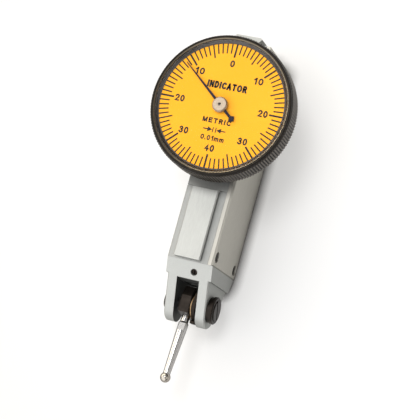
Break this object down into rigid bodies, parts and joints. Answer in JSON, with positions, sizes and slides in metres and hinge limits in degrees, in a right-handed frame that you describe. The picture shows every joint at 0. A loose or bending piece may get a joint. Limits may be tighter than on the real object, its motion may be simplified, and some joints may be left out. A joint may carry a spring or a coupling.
{
  "type": "lever dial indicator",
  "caption": "Lever dial test indicator with a deep narrow body, a tilting ball stylus in a front fork, and a round dial with a turning knurled bezel.",
  "frame": {"origin": "on the flat back face of the body, straight below the centre of the dial", "axes": "+Z is the dial's outward normal and leaves the back face, +Y runs along the body from the stylus to the rear dovetail, +X points to the screwed side cover"},
  "size_m": [0.0406, 0.0997, 0.0354],
  "materials": {
    "satin_chrome": "satin chromed steel",
    "cover_steel": "satin chromed steel",
    "bezel_black": "black anodised",
    "dial_yellow": "printed yellow",
    "crystal_clear": "clear polished",
    "pointer_dark": "blued steel",
    "hub_silver": "turned nickel",
    "black_oxide": "black oxide",
    "chrome_bright": "polished",
    "carbide": "polished carbide",
    "bronze": "rolled bronze",
    "ring_steel": "dark turned steel",
    "dark_bronze": "darkened bronze",
    "brass_gear": "cut brass",
    "arbor_steel": "ground steel",
    "spring_steel": "tempered blue",
    "ruby": "polished ruby"
  },
  "bodies": {
    "body": {"body_frame": "satin_chrome", "side_cover": "cover_steel", "cover_screws": "black_oxide", "fork_bracket": "satin_chrome", "bracket_screws": "black_oxide", "set_screw": "black_oxide", "pivot_screw_left": "black_oxide", "pivot_collar": "black_oxide", "pivot_screw_right": "black_oxide", "movement_plate": "brass_gear", "plate_screws": "black_oxide", "jewel_bearings": "ruby", "dial_seat": "satin_chrome", "seat_screws": "black_oxide", "upper_bridge": "brass_gear", "bridge_screws": "black_oxide", "bezel_spring_ring": "spring_steel", "hairspring": "spring_steel", "hairspring_stud": "brass_gear"},
    "bezel": {"bezel": "bezel_black", "crystal": "crystal_clear", "dial_plate": "dial_yellow", "dial_clamp_ring": "ring_steel"},
    "lever": {"lever_arm": "dark_bronze", "drive_pin": "arbor_steel", "pivot_axle": "arbor_steel", "friction_washer": "bronze", "axle_spacer": "black_oxide"},
    "stylus": {"stylus_holder": "black_oxide", "stylus_shank": "chrome_bright", "stylus_ball": "carbide"},
    "sector": {"sector_gear": "brass_gear", "sector_arbor": "arbor_steel"},
    "crown": {"crown_gear": "brass_gear", "crown_arbor": "arbor_steel"},
    "pointer": {"centre_pinion": "arbor_steel", "hairspring_collet": "brass_gear", "pointer": "pointer_dark", "pointer_hub": "hub_silver"}
  },
  "joints": [
    {"name": "pointer_spin", "type": "hinge", "parent": "body", "child": "pointer", "pos_m": [0, 0, 0.0305], "axis": [0, 0, -1], "range_deg": [0, 405], "stiffness_Nm_per_rad": 0.0000026, "springref_deg": -412.53},
    {"name": "crown_spin", "type": "hinge", "parent": "body", "child": "crown", "pos_m": [0, 0, 0.0128], "axis": [-1, 0, 0], "range_deg": [0, 101.3]},
    {"name": "sector_swing", "type": "hinge", "parent": "body", "child": "sector", "pos_m": [0, -0.0112, 0.0128], "axis": [1, 0, 0], "range_deg": [0, 12.16]},
    {"name": "lever_swing", "type": "hinge", "parent": "body", "child": "lever", "pos_m": [0, -0.0532, 0.0128], "axis": [-1, 0, 0], "range_deg": [0, 2.37]},
    {"name": "stylus_set", "type": "hinge", "parent": "lever", "child": "stylus", "pos_m": [0, -0.0532, 0.0128], "axis": [-1, 0, 0], "range_deg": [-105, 105]},
    {"name": "bezel_turn", "type": "hinge", "parent": "body", "child": "bezel", "pos_m": [0, 0, 0.0305], "axis": [0, 0, 1], "continuous": true}
  ],
  "couplings": [
    {"joint": "crown_spin", "follows": "pointer_spin", "ratio": 0.25},
    {"joint": "sector_swing", "follows": "pointer_spin", "ratio": 0.03},
    {"joint": "lever_swing", "follows": "pointer_spin", "ratio": 0.0058405}
  ]
}
